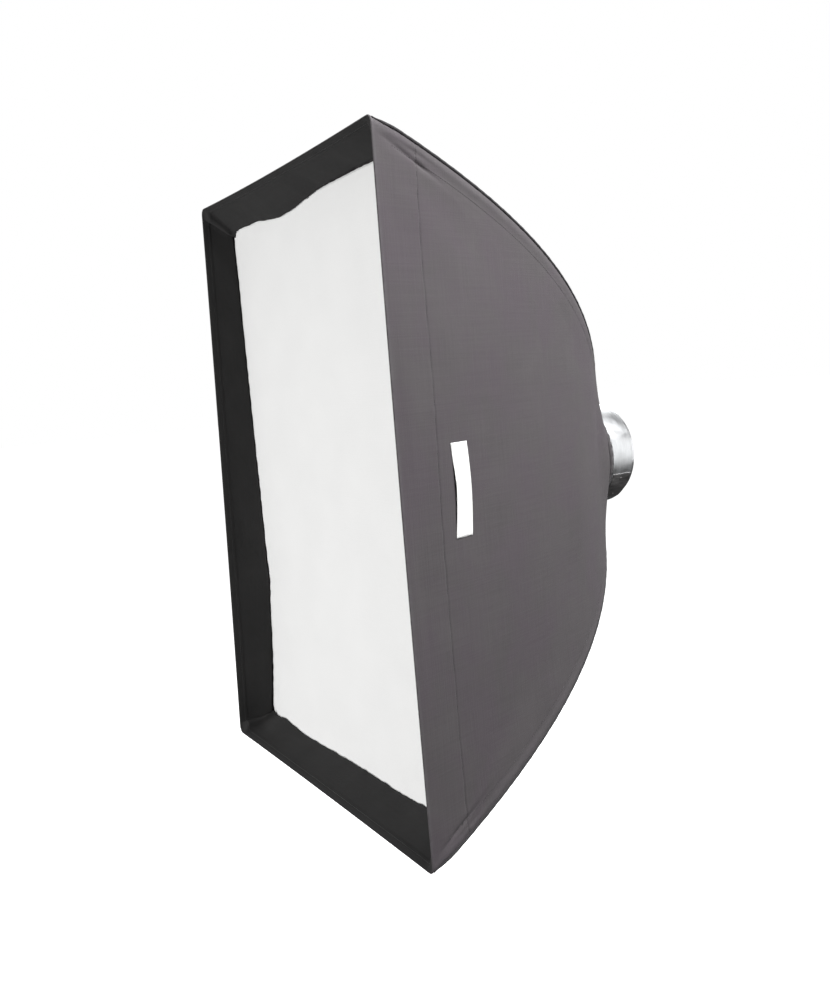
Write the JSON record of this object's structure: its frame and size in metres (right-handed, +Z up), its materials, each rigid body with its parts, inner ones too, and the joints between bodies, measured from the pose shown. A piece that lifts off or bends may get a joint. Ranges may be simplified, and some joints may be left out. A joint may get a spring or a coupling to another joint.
{
  "type": "rectangular softbox",
  "caption": "Deep rectangular light box of black fabric on bent rods, with a hooded white diffuser and a rotating ring that mounts on a flash head.",
  "frame": {"origin": "centre of the adapter's rear face, where it seats on the flash head, on the optical axis", "axes": "+Y along the optical axis out of the back, -Y the way the light goes, +Z up along the long side, +X right seen from in front"},
  "size_m": [0.601, 0.593, 0.9],
  "materials": {
    "collar_aluminium": "fine turned satin",
    "spring_steel": "bright",
    "lug_steel": "zinc plated",
    "ring_aluminium": "cast and turned satin",
    "knob_plastic": "moulded, fine texture",
    "shell_fabric": "woven nylon, charcoal",
    "silver_lining": "silvered, soft sheen",
    "hood_fabric": "matt black woven",
    "loop_tape": "black loop pile",
    "cuff_fabric": "gathered charcoal nylon",
    "label_fabric": "woven satin, blank",
    "piping_fabric": "folded black binding",
    "rod_fibreglass": "pultruded fibreglass",
    "ferrule_steel": "turned",
    "tip_plastic": "moulded",
    "pocket_webbing": "black webbing",
    "strap_elastic": "black elastic",
    "baffle_fabric": "white translucent nylon",
    "diffuser_fabric": "white translucent nylon",
    "hook_tape": "black hook tape"
  },
  "bodies": {
    "adapter": {"adapter_collar": "collar_aluminium", "retaining_ring": "spring_steel", "bayonet_lug_1": "lug_steel", "bayonet_lug_2": "lug_steel", "bayonet_lug_3": "lug_steel"},
    "box": {"speedring": "ring_aluminium", "shell_panel_right": "shell_fabric", "lining_right": "silver_lining", "hood_facing_right": "hood_fabric", "loop_tape_right": "loop_tape", "shell_panel_left": "shell_fabric", "lining_left": "silver_lining", "hood_facing_left": "hood_fabric", "loop_tape_left": "loop_tape", "shell_panel_top": "shell_fabric", "lining_top": "silver_lining", "hood_facing_top": "hood_fabric", "loop_tape_top": "loop_tape", "shell_panel_bottom": "shell_fabric", "lining_bottom": "silver_lining", "hood_facing_bottom": "hood_fabric", "loop_tape_bottom": "loop_tape", "front_hem": "hood_fabric", "back_cuff": "cuff_fabric", "side_label": "label_fabric", "seam_piping_top_right": "piping_fabric", "rod_top_right": "rod_fibreglass", "rod_ferrule_top_right": "ferrule_steel", "rod_tip_top_right": "tip_plastic", "corner_pocket_top_right": "pocket_webbing", "rod_channel_top_right": "silver_lining", "seam_piping_top_left": "piping_fabric", "rod_top_left": "rod_fibreglass", "rod_ferrule_top_left": "ferrule_steel", "rod_tip_top_left": "tip_plastic", "corner_pocket_top_left": "pocket_webbing", "rod_channel_top_left": "silver_lining", "seam_piping_bottom_left": "piping_fabric", "rod_bottom_left": "rod_fibreglass", "rod_ferrule_bottom_left": "ferrule_steel", "rod_tip_bottom_left": "tip_plastic", "corner_pocket_bottom_left": "pocket_webbing", "rod_channel_bottom_left": "silver_lining", "seam_piping_bottom_right": "piping_fabric", "rod_bottom_right": "rod_fibreglass", "rod_ferrule_bottom_right": "ferrule_steel", "rod_tip_bottom_right": "tip_plastic", "corner_pocket_bottom_right": "pocket_webbing", "rod_channel_bottom_right": "silver_lining"},
    "lock_screw_1": {"lock_screw_1": "knob_plastic"},
    "lock_screw_2": {"lock_screw_2": "knob_plastic"},
    "baffle": {"inner_baffle": "baffle_fabric", "baffle_strap_top_right": "strap_elastic", "baffle_strap_top_left": "strap_elastic", "baffle_strap_bottom_left": "strap_elastic", "baffle_strap_bottom_right": "strap_elastic"},
    "diffuser": {"front_diffuser": "diffuser_fabric", "diffuser_tape": "hook_tape"}
  },
  "joints": [
    {"name": "box_rotation", "type": "hinge", "parent": "adapter", "child": "box", "pos_m": [0, 0, 0], "axis": [0, 1, 0], "continuous": true},
    {"name": "lock_screw_1_turn", "type": "hinge", "parent": "box", "child": "lock_screw_1", "pos_m": [-0.07318, -0.029, 0.04225], "axis": [-0.866, 0, 0.5], "range_deg": [0, 540]},
    {"name": "lock_screw_2_turn", "type": "hinge", "parent": "box", "child": "lock_screw_2", "pos_m": [-0.07318, -0.029, -0.04225], "axis": [-0.866, 0, -0.5], "range_deg": [0, 540]},
    {"name": "baffle_pull", "type": "slide", "parent": "box", "child": "baffle", "axis": [0, -1, 0], "range_m": [0, 0.155]},
    {"name": "diffuser_pull", "type": "slide", "parent": "box", "child": "diffuser", "axis": [0, -1, 0], "range_m": [0, 0.14]}
  ]
}
